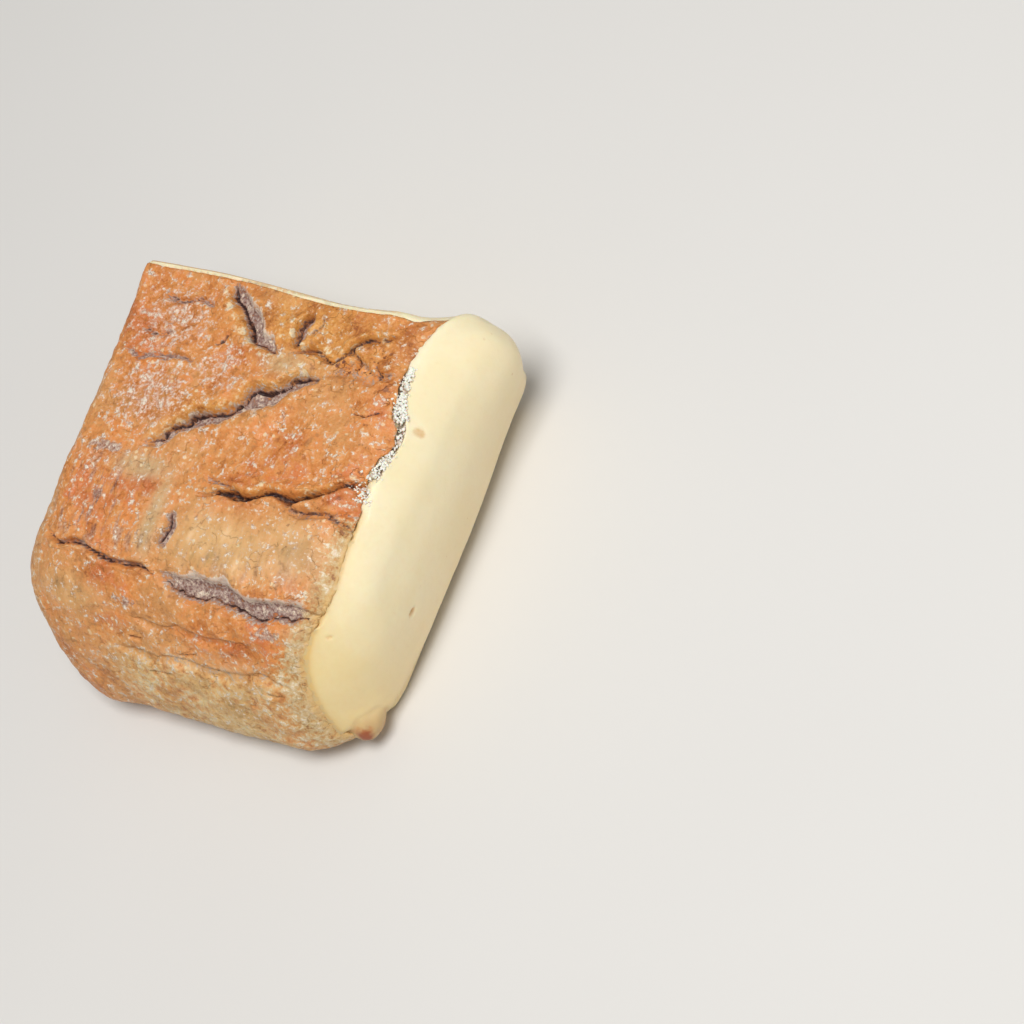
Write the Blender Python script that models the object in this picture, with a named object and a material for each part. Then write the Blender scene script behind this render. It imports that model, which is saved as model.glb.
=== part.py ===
"""A quarter of a square washed-rind cheese, lying on its lower rind.

X runs from the left rind side to the broad cut, Y from the front rind side to the second cut, and Z from
the lower rind to the upper one. The block is a signed form of six swelling walls whose shared edges are
rounded by different radii. The points of a subdivided cube are drawn out onto that form, and the creases,
wrinkles and small holes are then pressed into it.
"""

import bmesh
import bpy
import numpy as np
from mathutils import Vector, noise

MM = 0.001

# The block between its rinds and its cut planes
WIDTH = 92.0 * MM
LENGTH = 96.0 * MM
HEIGHT = 50.0 * MM

# How far each wall swells out at its fullest, and where
CUT_SWELL = 4.4 * MM
CUT_SWELL_TO_BACK = 0.77
FRONT_SWELL = 8.0 * MM
FRONT_SWELL_LOW = 0.8
LEFT_SWELL = 4.0 * MM
CORNER_SWELL = 5.8 * MM
CORNER_SWELL_Y = -35.9 * MM
CORNER_SWELL_REACH = 15.0 * MM
BACK_SWELL = 1.6 * MM
PILLOW = 4.9 * MM  # the soft paste spreads past the second cut beyond the rind's edge
BACK_DIP = 2.9 * MM  # the second cut runs in a shallow hollow
BACK_DIP_X = 20.6 * MM
BACK_DIP_REACH = 26.0 * MM
TOP_SAG = 1.0 * MM
FRONT_DROP = 1.0 * MM

# Edge radii
CRISP = 1.5 * MM
LEFT_TOP_RADIUS = 3.8 * MM
FRONT_TOP_RADIUS = 9.7 * MM
CUT_TOP_RADIUS = 13.4 * MM
CRISP_FOOT = 2.0 * MM
LEFT_FOOT_RADIUS = 8.0 * MM
FRONT_FOOT_RADIUS = 12.6 * MM
CUT_FOOT_RADIUS = 7.9 * MM
LEFT_FRONT_RADIUS = 15.0 * MM
CUT_FRONT_RADIUS = 25.4 * MM
CUT_BACK_RADIUS = 8.0 * MM

# The rind stops this far from the middle, short of the broad cut's face, and bows in towards the front
RIND_END_X = 42.6 * MM
RIND_END_BOW = 4.4 * MM
RIND_END_CURL = 1.1 * MM
RIND_END_REACH = 1.7 * MM
PASTE_LIP = 0.7 * MM

# Creases of the upper rind: points in X and Y, half width and depth. Y runs on down the front as a length
CREASES = {
    "long_diagonal": ([(21, 27), (14, 24), (8, 19), (1, 17), (-5, 11), (-13, 9), (-19, 3), (-27, -1)], 1.9, 3.0),
    "middle": ([(-4, -10), (3, -8), (10, -8), (18, -5), (25, -6), (33, -2), (39, 1), (46, 3)], 1.3, 2.8),
    "middle_branch": ([(20, -6), (27, -9), (36, -8), (46, -9.5)], 1.0, 1.1),
    "slit": ([(-8, -14), (-6.5, -19), (-7.5, -25)], 1.4, 2.2),
    "fold_left": ([(-48, -26), (-40, -29), (-31, -29), (-22, -32), (-13, -31.5), (-5, -34)], 1.3, 1.7),
    "fold_broad": ([(-8, -32), (2, -35.5), (13, -35.5), (24, -38), (34, -36.5), (43, -37)], 4.0, 2.4),
    "upper_furrow": ([(-18, 47), (-13, 41), (-8, 38), (-3, 32), (5, 29)], 2.2, 2.7),
    "upper_slit": ([(10, 41), (8, 36), (8.5, 31)], 1.7, 2.3),
    "upper_thin": ([(6, 30), (13, 31.5), (20, 31), (28, 36), (37, 40)], 1.0, 1.4),
    "ragged_band": ([(19, 27), (26, 29.5), (33, 27.5), (41, 30)], 2.3, 1.2),
    "left_high": ([(-37, 41), (-31, 38.5), (-25, 40), (-19, 38)], 1.0, 1.1),
    "left_low": ([(-43, 25), (-35, 22), (-26, 24), (-17, 22.5)], 1.1, 1.2),
    "front_wrinkle_high": ([(-16, -50), (-8, -53), (0, -51), (9, -53), (21, -51)], 1.7, 1.3),
    "front_wrinkle_low": ([(-24, -63), (-14, -67), (-2, -64), (12, -67), (22, -63), (32, -66)], 2.0, 1.3),
}
CREASE_LIP = 0.25  # share of a crease's depth that its shoulders stand up
CREASE_UNEVEN = 0.45  # share by which its width and depth come and go

# Small holes in the broad cut: Y, Z, radius and depth
EYES = [(19, 42.3, 2.2, 0.6), (-18.4, 19.5, 2.0, 0.9), (-33.5, 37.7, 1.6, 0.5)]

# The rind's squeezed lip at the foot of the broad cut's front corner
LIP_CENTRE = (42.8 * MM, -44.7 * MM, 8.6 * MM)
LIP_REACH = 6.2 * MM
LIP_RISE = 4.3 * MM

# Unevenness of the rind and of the paste
RIND_WAVE = 0.75 * MM
RIND_WAVE_SIZE = 17.0 * MM
RIND_GRAIN = 0.3 * MM
RIND_GRAIN_SIZE = 5.0 * MM
PASTE_WAVE = 0.35 * MM
PASTE_WAVE_SIZE = 22.0 * MM
WANDER = 1.3 * MM
WANDER_SIZE = 8.0 * MM

# The grid on the cube, and the triangles that are kept where the relief needs them
CUTS_X, CUTS_Y, CUTS_Z = 111, 111, 59
TRIANGLES = 10800
CORE_SHARE = 0.42
HALVINGS = 26
BASE_SETTLE = 2.0 * MM

RIND_COLOUR = (0.60, 0.30, 0.12, 1.0)
RIND_ROUGHNESS = 0.55


def clear_scene():
    """Removes whatever the scene holds."""
    for obj in list(bpy.data.objects):
        bpy.data.objects.remove(obj)


def smooth(x):
    """A soft step that rises from 0 to 1 as x does."""
    x = np.clip(x, 0.0, 1.0)
    return x * x * (3.0 - 2.0 * x)


def blend(a, b, share):
    """a where share is 0, b where it is 1."""
    return a + (b - a) * share


def rounded_meet(a, b, radius):
    """The signed distance inside both walls a and b, with their shared edge rounded to this radius."""
    outside = np.hypot(np.maximum(radius + a, 0.0), np.maximum(radius + b, 0.0))
    return np.minimum(-radius, np.maximum(a, b)) + outside


def walls_of(points):
    """Signed distances to the left, front, broad cut and second cut walls, and the share past the rind."""
    x, y, z = points.T
    rise = np.clip(2.0 * z / HEIGHT - 1.0, -1.2, 1.2)
    back = np.clip(2.0 * y / LENGTH, -1.2, 1.2)
    belly = 1.0 - rise**2
    past_rind = smooth((x - WIDTH / 2.0 + 10.0 * MM) / (13.0 * MM))
    corner = CORNER_SWELL * np.exp(-(((y - CORNER_SWELL_Y) / CORNER_SWELL_REACH) ** 2))
    dip = BACK_DIP * np.exp(-(((x - BACK_DIP_X) / BACK_DIP_REACH) ** 2))
    left = -x - WIDTH / 2.0 - LEFT_SWELL * belly - corner
    front = -y - LENGTH / 2.0 - FRONT_SWELL * (1.0 - (rise + FRONT_SWELL_LOW) ** 2)
    cut = x - WIDTH / 2.0 - CUT_SWELL * belly * (1.0 + CUT_SWELL_TO_BACK * back)
    second_cut = y - LENGTH / 2.0 - BACK_SWELL * belly - PILLOW * past_rind + dip
    return left, front, cut, second_cut, past_rind


def form(points):
    """The signed distance of each point to the smooth block, negative inside."""
    x, y, z = points.T
    across = np.clip(2.0 * x / WIDTH, -1.2, 1.2)
    back = np.clip(2.0 * y / LENGTH, -1.2, 1.2)
    left, front, cut, second_cut, past_rind = walls_of(points)
    sag = TOP_SAG * smooth(0.5 + 0.5 * across) * smooth(0.5 + 0.5 * back)
    top = z - HEIGHT + sag + FRONT_DROP * smooth(-back) ** 2
    sides = rounded_meet(left, front, LEFT_FRONT_RADIUS)
    sides = rounded_meet(sides, cut, CUT_FRONT_RADIUS)
    sides = rounded_meet(sides, second_cut, blend(CRISP, CUT_BACK_RADIUS, past_rind))
    near_front = smooth((front + 30.0 * MM) / (22.0 * MM))
    near_left = smooth((left + 14.0 * MM) / (10.0 * MM))
    near_cut = smooth((cut + 16.0 * MM) / (10.0 * MM))
    near_back = smooth((second_cut + 12.0 * MM) / (8.0 * MM))
    crown = blend(blend(CRISP, LEFT_TOP_RADIUS, near_left), CUT_TOP_RADIUS, near_cut)
    crown = np.maximum(crown, near_front * FRONT_TOP_RADIUS)
    crown = blend(crown, blend(CRISP, CUT_TOP_RADIUS, near_cut), near_back)
    foot = np.maximum(
        blend(CRISP_FOOT, FRONT_FOOT_RADIUS, near_front), blend(CRISP_FOOT, LEFT_FOOT_RADIUS, near_left)
    )
    cut_foot = blend(CRISP_FOOT, CUT_FOOT_RADIUS, near_cut)
    foot = blend(np.maximum(foot, cut_foot), cut_foot, near_back)
    return rounded_meet(rounded_meet(sides, top, crown), -z, foot)


def outward(points):
    """The form's outward direction at each point."""
    step = 0.05 * MM
    slopes = [form(points + step * axis) - form(points - step * axis) for axis in np.eye(3)]
    direction = np.stack(slopes, axis=1)
    return direction / np.linalg.norm(direction, axis=1, keepdims=True)


def drawn_onto_form(cube):
    """Moves the points of a cube from -1 to 1 out onto the form, each along its own ray from an inner box."""
    half = np.array([WIDTH, LENGTH, HEIGHT]) / 2.0
    middle = np.array([0.0, 0.0, HEIGHT / 2.0])
    margin = CORE_SHARE * HEIGHT
    start = cube * half + middle
    core = np.clip(start, middle - half + margin, middle + half - margin)
    ray = start - core
    ray /= np.linalg.norm(ray, axis=1, keepdims=True)
    near = np.zeros(len(cube))
    far = np.full(len(cube), 3.0 * margin)
    for _ in range(HALVINGS):
        guess = (near + far) / 2.0
        inside = form(core + ray * guess[:, None]) < 0.0
        near = np.where(inside, guess, near)
        far = np.where(inside, far, guess)
    return core + ray * near[:, None]


def noise_at(points, size, octaves=2):
    """Smooth noise of about -1 to 1 at each point, with waves of this size."""
    values = [noise.fractal(Vector(p) / size, 1.0, 2.0, octaves) for p in points.tolist()]
    return np.array(values)


def rind_end(points):
    """Where the upper and front rind ends, as X at each point, wavering a little along its length."""
    y, z = points[:, 1], points[:, 2]
    bow = RIND_END_BOW * smooth((-y / MM - 22.0) / 26.0)
    waver = 1.3 * MM * np.sin(y / (6.5 * MM)) * smooth(z / HEIGHT)
    return RIND_END_X - bow + waver


def crease_shape(across, along, uneven, crease):
    """How deep one crease is at each unrolled point, with its shoulders standing up beside it."""
    path, half_width, depth = crease
    path = np.array(path) * MM
    nearest = np.full(len(across), np.inf)
    here = np.zeros(len(across))
    lengths = np.linalg.norm(np.diff(path, axis=0), axis=1)
    before = np.concatenate([[0.0], np.cumsum(lengths)])
    for start, end, done, length in zip(path[:-1], path[1:], before, lengths):
        run = (end - start) / length
        offset = np.stack([across, along], axis=1) - start
        travel = np.clip(offset @ run, 0.0, length)
        gap = np.linalg.norm(offset - travel[:, None] * run, axis=1)
        closer = gap < nearest
        nearest = np.where(closer, gap, nearest)
        here = np.where(closer, (done + travel) / before[-1], here)
    taper = np.sqrt(np.clip(np.minimum(here, 1.0 - here) * 6.0, 0.15, 1.0)) * (1.0 + CREASE_UNEVEN * uneven)
    reach = half_width * MM * taper
    trough = np.exp(-((nearest / reach) ** 3))
    shoulder = CREASE_LIP * np.exp(-(((nearest - 2.0 * reach) / reach) ** 2))
    return depth * MM * taper * (shoulder - trough)


def relief(points, normals):
    """How far each point of the form stands out or lies in, along its outward direction."""
    x, y, z = points.T
    end = rind_end(points)
    left, front, cut, second_cut, _ = walls_of(points)
    on_paste = smooth((x - end) / (1.5 * MM))
    on_paste = np.maximum(on_paste, smooth((second_cut + 0.6 * MM) / (0.6 * MM)))
    wander_x = WANDER * noise_at(points, WANDER_SIZE)
    wander_y = WANDER * noise_at(points + WANDER_SIZE, WANDER_SIZE)
    uneven = noise_at(points - WANDER_SIZE, WANDER_SIZE)
    drop = HEIGHT - z
    across = x + wander_x
    along = y - drop * smooth(-normals[:, 1] * 1.6) + wander_y
    upper = smooth((z - 6.0 * MM) / (8.0 * MM))
    depth = sum(crease_shape(across, along, uneven, crease) for crease in CREASES.values())
    rough = RIND_WAVE * noise_at(points, RIND_WAVE_SIZE)
    rough += RIND_GRAIN * noise_at(points + 0.5, RIND_GRAIN_SIZE)
    curl = -RIND_END_CURL * np.exp(-(((x - end) / RIND_END_REACH) ** 2))
    curl *= 1.0 - smooth((second_cut + 0.6 * MM) / (0.6 * MM))
    rind = depth * upper + rough
    paste = PASTE_LIP * smooth((x - end) / (4.0 * MM)) + PASTE_WAVE * noise_at(points, PASTE_WAVE_SIZE)
    paste -= eyes(y, z, cut)
    lip = LIP_RISE * np.exp(-((np.linalg.norm(points - np.array(LIP_CENTRE), axis=1) / LIP_REACH) ** 2))
    return blend(rind, paste, on_paste) + curl * upper + lip


def eyes(y, z, cut):
    """The depth of the small holes in the broad cut."""
    total = np.zeros(len(y))
    for eye_y, eye_z, radius, depth in EYES:
        gap = np.hypot(y - eye_y * MM, z - eye_z * MM)
        total += depth * MM * np.exp(-((gap / (radius * MM)) ** 2))
    return total * smooth((cut + 12.0 * MM) / (4.0 * MM))


def pressed(points):
    """The form's points with the relief pressed in, and a flat base left to rest on."""
    normals = outward(points)
    above_base = smooth((points[:, 2] - 0.2 * MM) / BASE_SETTLE)
    moved = points + normals * (relief(points, normals) * above_base)[:, None]
    moved[:, 2] = np.where(points[:, 2] < 0.2 * MM, 0.0, np.maximum(moved[:, 2], 0.0))
    return moved


def centred(points):
    """The points with the middle of their box over the origin."""
    middle = (points.min(axis=0) + points.max(axis=0)) / 2.0
    return points - np.array([middle[0], middle[1], 0.0])


def cut_along(mesh, axis, cuts):
    """Divides the cube's edges that run along one axis."""
    edges = [
        e for e in mesh.edges if abs(e.verts[0].co[axis] - e.verts[1].co[axis]) > 0.99 * e.calc_length()
    ]
    bmesh.ops.subdivide_edges(mesh, edges=edges, cuts=cuts, use_grid_fill=True)


def rind_material():
    """The block's plain finish."""
    material = bpy.data.materials.new("washed_rind")
    material.use_nodes = True
    shader = material.node_tree.nodes["Principled BSDF"]
    shader.inputs["Base Color"].default_value = RIND_COLOUR
    shader.inputs["Roughness"].default_value = RIND_ROUGHNESS
    shader.inputs["Metallic"].default_value = 0.0
    return material


def cheese_piece():
    """Builds the quarter of cheese as one solid."""
    mesh = bmesh.new()
    bmesh.ops.create_cube(mesh, size=2.0)
    for axis, cuts in enumerate((CUTS_X, CUTS_Y, CUTS_Z)):
        cut_along(mesh, axis, cuts)
    data = bpy.data.meshes.new("cheese_piece")
    mesh.to_mesh(data)
    mesh.free()
    cube = np.empty(len(data.vertices) * 3)
    data.vertices.foreach_get("co", cube)
    points = centred(pressed(drawn_onto_form(cube.reshape(-1, 3))))
    data.vertices.foreach_set("co", points.ravel())
    data.update()
    data.shade_smooth()
    data.materials.append(rind_material())
    piece = bpy.data.objects.new("cheese_piece", data)
    thinned = piece.modifiers.new("keep_what_shows", "DECIMATE")
    thinned.ratio = TRIANGLES / (2.0 * len(data.polygons))
    return piece


def main():
    """Clears the scene and makes the cheese in its own collection."""
    clear_scene()
    collection = bpy.data.collections.new("taleggio_quarter")
    bpy.context.scene.collection.children.link(collection)
    collection.objects.link(cheese_piece())


main()
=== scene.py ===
"""A quarter of a washed-rind cheese that lies on a pale table, seen from above.

The rind is a thin shell with creases, splits and mould. The soft paste fills it and swells out past its edge at the
broad cut, and white crumbs sit where the rind has broken away from it. Lengths are metres, written as so many MM.
X runs to the broad cut, Y to the second cut and Z up. The block is worked out in its own frame, whose origin is the
middle of its walls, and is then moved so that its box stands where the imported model's does.
"""

import logging
import math
from collections.abc import Callable
from dataclasses import dataclass
from enum import Enum
from typing import NamedTuple

import bmesh
import bpy
import numpy as np
from mathutils import Matrix, Vector, noise


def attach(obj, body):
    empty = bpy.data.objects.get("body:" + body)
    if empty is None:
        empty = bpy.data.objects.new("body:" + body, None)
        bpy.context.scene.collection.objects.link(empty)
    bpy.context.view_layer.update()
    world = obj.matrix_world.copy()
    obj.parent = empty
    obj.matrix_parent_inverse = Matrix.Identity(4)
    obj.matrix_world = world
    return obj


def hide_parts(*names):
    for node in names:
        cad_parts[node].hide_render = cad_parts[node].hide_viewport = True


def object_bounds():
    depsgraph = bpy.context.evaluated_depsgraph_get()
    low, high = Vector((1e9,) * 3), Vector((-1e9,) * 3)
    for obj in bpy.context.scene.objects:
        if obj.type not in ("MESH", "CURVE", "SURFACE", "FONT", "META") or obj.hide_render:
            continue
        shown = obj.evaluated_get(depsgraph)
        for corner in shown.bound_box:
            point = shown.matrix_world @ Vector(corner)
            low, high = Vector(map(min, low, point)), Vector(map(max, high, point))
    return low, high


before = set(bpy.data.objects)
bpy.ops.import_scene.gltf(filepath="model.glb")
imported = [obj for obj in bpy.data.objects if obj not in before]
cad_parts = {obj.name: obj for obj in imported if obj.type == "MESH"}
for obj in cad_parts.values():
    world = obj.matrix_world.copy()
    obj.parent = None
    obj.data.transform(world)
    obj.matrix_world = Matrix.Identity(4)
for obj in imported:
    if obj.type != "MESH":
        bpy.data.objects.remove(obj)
cad_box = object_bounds()

MM = 0.001
NODE = "cheese_piece"
BODY = "root"
ON_WALL = 0.999  # how far out a cube's seat lies that is on its wall
LOG = logging.getLogger("cheese")
Points = np.ndarray
Inset = Callable[[Points], Points]
Colour = tuple[float, float, float, float]
Stops = tuple[tuple[float, Colour], ...]


class Level(Enum):
    """How finely a stretch of surface is divided: how many times its grid is halved."""

    FINE = 1
    FINEST = 2


def smooth(x: Points) -> Points:
    """A soft step that rises from 0 to 1 as x does."""
    x = np.clip(x, 0.0, 1.0)
    return x * x * (3.0 - 2.0 * x)


def rising(length: Points, low: float, high: float) -> Points:
    """A soft step from 0 to 1 between two lengths in millimetres."""
    return smooth((length / MM - low) / (high - low))


def falling(length: Points, low: float, high: float) -> Points:
    """A soft step from 1 to 0 between two lengths in millimetres."""
    return smooth((high - length / MM) / (high - low))


def bell(away: Points, reach: Points | float, power: float = 2.0) -> Points:
    """A soft bump, 1 where away is 0 and near 0 well past its reach. A higher power gives it a steeper side."""
    return np.exp(-((away / reach) ** power))


def gap_to(at: Points, place: tuple[float, float, float]) -> Points:
    """How far each point is from a place in millimetres."""
    return np.linalg.norm(at - np.array(place) * MM, axis=1)


def blend(a: Points, b: Points, share: Points) -> Points:
    """a where share is 0, b where it is 1."""
    return a + (b - a) * share


def noise_at(at: Points, size: float, octaves: int = 2) -> Points:
    """Smooth noise of about -1 to 1.

    Args:
        at: The points, one a row.
        size: The length of its longest waves.
        octaves: How many halvings of that length it adds up.

    Returns:
        One value a point.
    """
    return np.array([noise.fractal(Vector(p), 1.0, 2.0, octaves) for p in (at / size).tolist()])


def rounded_meet(a: Points, b: Points, radius: Points) -> Points:
    """The signed distance inside both walls a and b, with their shared edge rounded to this radius."""
    outside = np.hypot(np.maximum(radius + a, 0.0), np.maximum(radius + b, 0.0))
    return np.minimum(-radius, np.maximum(a, b)) + outside


def paint(red: int, green: int, blue: int) -> Colour:
    """The linear colour of an 8-bit screen colour."""
    linear = [((c / 255 + 0.055) / 1.055) ** 2.4 if c > 10 else c / 255 / 12.92 for c in (red, green, blue)]
    return (linear[0], linear[1], linear[2], 1.0)


def stops(*rows: tuple[float, int, int, int]) -> Stops:
    """A ramp's stops, each from its position and an 8-bit screen colour."""
    return tuple((position, paint(*colour)) for position, *colour in rows)


@dataclass(frozen=True)
class Block:
    """The smooth block that both the rind and the paste follow, as a signed form of six swelling walls."""

    width: float = 92.0 * MM
    length: float = 96.0 * MM
    height: float = 50.0 * MM
    cut_swell: float = 4.4 * MM
    cut_swell_to_back: float = 0.77
    front_swell: float = 8.0 * MM
    front_swell_low: float = 0.8
    left_swell: float = 4.0 * MM
    corner_swell: float = 5.8 * MM
    corner_swell_y: float = -35.9 * MM
    corner_swell_reach: float = 15.0 * MM
    back_swell: float = 1.6 * MM
    pillow: float = 4.9 * MM
    back_dip: float = 2.9 * MM
    back_dip_x: float = 20.6 * MM
    back_dip_reach: float = 26.0 * MM
    top_sag: float = 1.0 * MM
    front_drop: float = 1.0 * MM
    crisp: float = 1.5 * MM
    left_top: float = 3.8 * MM
    front_top: float = 9.7 * MM
    cut_top: float = 13.4 * MM
    crisp_foot: float = 2.0 * MM
    left_foot: float = 8.0 * MM
    front_foot: float = 12.6 * MM
    cut_foot: float = 7.9 * MM
    left_front: float = 15.0 * MM
    cut_front: float = 25.4 * MM
    cut_back: float = 8.0 * MM
    core_share: float = 0.42
    widest: float = 1.2
    rind_end_under: float = 9.0 * MM
    rind_end_front: float = -0.35
    rind_line: tuple[tuple[float, float], ...] = (
        (-57.0, 37.5), (-52.0, 37.0), (-47.0, 36.0), (-41.0, 35.6), (-30.0, 39.8), (-21.0, 42.4), (-12.7, 42.6),
        (-6.0, 42.9), (5.2, 41.6), (16.3, 43.5), (27.6, 40.0), (37.8, 40.6), (45.6, 43.4), (50.0, 43.8),
    )

    @property
    def half(self) -> Points:
        """Half the block's size between its walls."""
        return np.array([self.width, self.length, self.height]) / 2.0

    @property
    def middle(self) -> Points:
        """The middle of the block."""
        return np.array([0.0, 0.0, self.height / 2.0])

    @property
    def margin(self) -> float:
        """How far inside the walls the core lies that rays leave from."""
        return self.core_share * self.height

    def spread(self, length: Points, size: float) -> Points:
        """Where a length from the middle lies on this size, from -1 to 1 between the walls."""
        return np.clip(2.0 * length / size, -self.widest, self.widest)

    def walls(self, at: Points) -> tuple[Points, Points, Points, Points, Points]:
        """Signed distances to the left, front, broad cut and second cut walls, and the share past the rind."""
        x, y, z = at.T
        rise = self.spread(z - self.height / 2.0, self.height)
        back = self.spread(y, self.length)
        belly = 1.0 - rise**2
        past_rind = rising(x - self.width / 2.0, -10.0, 3.0)
        corner = self.corner_swell * bell(y - self.corner_swell_y, self.corner_swell_reach)
        dip = self.back_dip * bell(x - self.back_dip_x, self.back_dip_reach)
        left = -x - self.width / 2.0 - self.left_swell * belly - corner
        front = -y - self.length / 2.0 - self.front_swell * (1.0 - (rise + self.front_swell_low) ** 2)
        cut = x - self.width / 2.0 - self.cut_swell * belly * (1.0 + self.cut_swell_to_back * back)
        second = y - self.length / 2.0 - self.back_swell * belly - self.pillow * past_rind + dip
        return left, front, cut, second, past_rind

    def form(self, at: Points, inset: Points | float = 0.0) -> Points:
        """The signed distance of each point to the block, negative inside.

        Args:
            at: The points.
            inset: How far the walls that the rind covers are moved in.

        Returns:
            One distance a point.
        """
        x, y, z = at.T
        across, back = self.spread(x, self.width), self.spread(y, self.length)
        left, front, cut, second, past_rind = self.walls(at)
        sag = self.top_sag * smooth(0.5 + 0.5 * across) * smooth(0.5 + 0.5 * back)
        top = z - self.height + sag + self.front_drop * smooth(-back) ** 2
        near_front, near_left = rising(front, -30.0, -8.0), rising(left, -14.0, -4.0)
        near_cut, near_back = rising(cut, -16.0, -6.0), rising(second, -12.0, -4.0)
        crown = blend(blend(self.crisp, self.left_top, near_left), self.cut_top, near_cut)
        crown = np.maximum(crown, near_front * self.front_top)
        crown = blend(crown, blend(self.crisp, self.cut_top, near_cut), near_back)
        foot = np.maximum(
            blend(self.crisp_foot, self.front_foot, near_front), blend(self.crisp_foot, self.left_foot, near_left)
        )
        cut_foot = blend(self.crisp_foot, self.cut_foot, near_cut)
        foot = blend(np.maximum(foot, cut_foot), cut_foot, near_back)
        sides = rounded_meet(left + inset, front + inset, self.left_front)
        sides = rounded_meet(sides, cut, self.cut_front)
        sides = rounded_meet(sides, second, blend(self.crisp, self.cut_back, past_rind))
        return rounded_meet(rounded_meet(sides, top + inset, crown), inset - z, foot)

    def rind_end(self, at: Points) -> Points:
        """Where the rind ends at the broad cut, as X at each point. Low down it ends further in, and further out
        near the front.
        """
        line = np.array(self.rind_line)
        end = np.mean([np.interp(at[:, 1] / MM + step, *line.T) for step in (-2.0, 0.0, 2.0)], axis=0) * MM
        off_front = blend(self.rind_end_front, 1.0, rising(at[:, 1], -46.0, -24.0))
        return end - self.rind_end_under * off_front * falling(at[:, 2], 4.0, 16.0)


BLOCK = Block()


@dataclass(frozen=True)
class Crease:
    """One crease, split or nick of the rind, drawn in millimetres on the upper rind unrolled over the front.

    mould greys its trough, split darkens its seam and, as painted shade, the trough where there is little mould, halo
    stains the rind beside it amber, and lean is the side, 1 or -1, that the seam lies on.
    """

    path: tuple[tuple[float, float], ...]
    half_width: float
    depth: float
    mould: float = 0.0
    split: float = 0.6
    halo: float = 0.0
    lean: int = 1

    def nearest(self, flat: Points) -> tuple[Points, Points, Points]:
        """Measures unrolled points against the crease's line.

        Args:
            flat: Unrolled points, in metres.

        Returns:
            The distance to the line, the share of its length passed there, and the side, 1 or -1.
        """
        path = np.array(self.path) * MM
        gap = np.full(len(flat), np.inf)
        here = np.zeros(len(flat))
        side = np.ones(len(flat))
        lengths = np.linalg.norm(np.diff(path, axis=0), axis=1)
        before = np.concatenate([[0.0], np.cumsum(lengths)])
        for start, end, done, length in zip(path[:-1], path[1:], before, lengths):
            run = (end - start) / length
            offset = flat - start
            travel = np.clip(offset @ run, 0.0, length)
            away = offset - travel[:, None] * run
            distance = np.linalg.norm(away, axis=1)
            closer = distance < gap
            gap = np.where(closer, distance, gap)
            here = np.where(closer, (done + travel) / before[-1], here)
            side = np.where(closer, np.sign(run[0] * offset[:, 1] - run[1] * offset[:, 0] + 1e-12), side)
        return gap, here, side


CREASES = (
    Crease(
        ((21, 27), (14, 24), (8, 19), (1, 17), (-5, 11), (-13, 9), (-19, 3), (-27, -1)), 2.4, 2.8, 0.9, 1.0, 1.0, -1
    ),
    Crease(((-4, -10), (3, -8), (10, -8), (18, -5), (25, -6), (33, -2), (39, 1), (46, 3)), 1.0, 2.8, 0.1, 1.0, 0.8),
    Crease(((20, -6), (27, -9), (36, -8), (46, -9.5)), 0.8, 1.1, 0.3, 0.7, 0.5),
    Crease(((-8, -14), (-6.5, -19), (-7.5, -25)), 2.1, 2.0, 1.0, 0.8, 0.2, -1),
    Crease(((-48, -26), (-40, -29), (-31, -29), (-22, -32), (-13, -31.5), (-5, -34)), 1.0, 1.7, 0.6, 0.9, 0.3, -1),
    Crease(((-8, -32), (2, -35.5), (13, -35.5), (24, -38), (34, -36.5), (43, -37)), 4.6, 2.3, 1.0, 0.9, 0.0, -1),
    Crease(((-18, 47), (-13, 41), (-8, 38), (-3, 32), (5, 29)), 2.2, 2.4, 1.0, 1.0, 0.8, -1),
    Crease(((10, 41), (8, 36), (8.5, 31)), 1.5, 2.3, 0.8, 0.9, 0.9, -1),
    Crease(((6, 30), (13, 31.5), (20, 31), (28, 36), (37, 40)), 0.8, 1.4, 0.2, 0.8, 0.9),
    Crease(((19, 27), (26, 29.5), (33, 27.5), (41, 30)), 1.9, 1.2, 0.35, 0.5, 0.5),
    Crease(((-37, 41), (-31, 38.5), (-25, 40), (-19, 38)), 0.8, 1.1, 0.7, 0.6, 0.0),
    Crease(((-43, 25), (-35, 22), (-26, 24), (-17, 22.5)), 0.9, 1.2, 0.8, 0.5, 0.0),
    Crease(((-16, -50), (-8, -53), (0, -51), (9, -53), (21, -51)), 1.7, 0.8, 0.1, 0.2, 0.3),
    Crease(((-24, -63), (-14, -67), (-2, -64), (12, -67), (22, -63), (32, -66)), 2.0, 0.8, 0.15, 0.25, 0.2),
)
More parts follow.
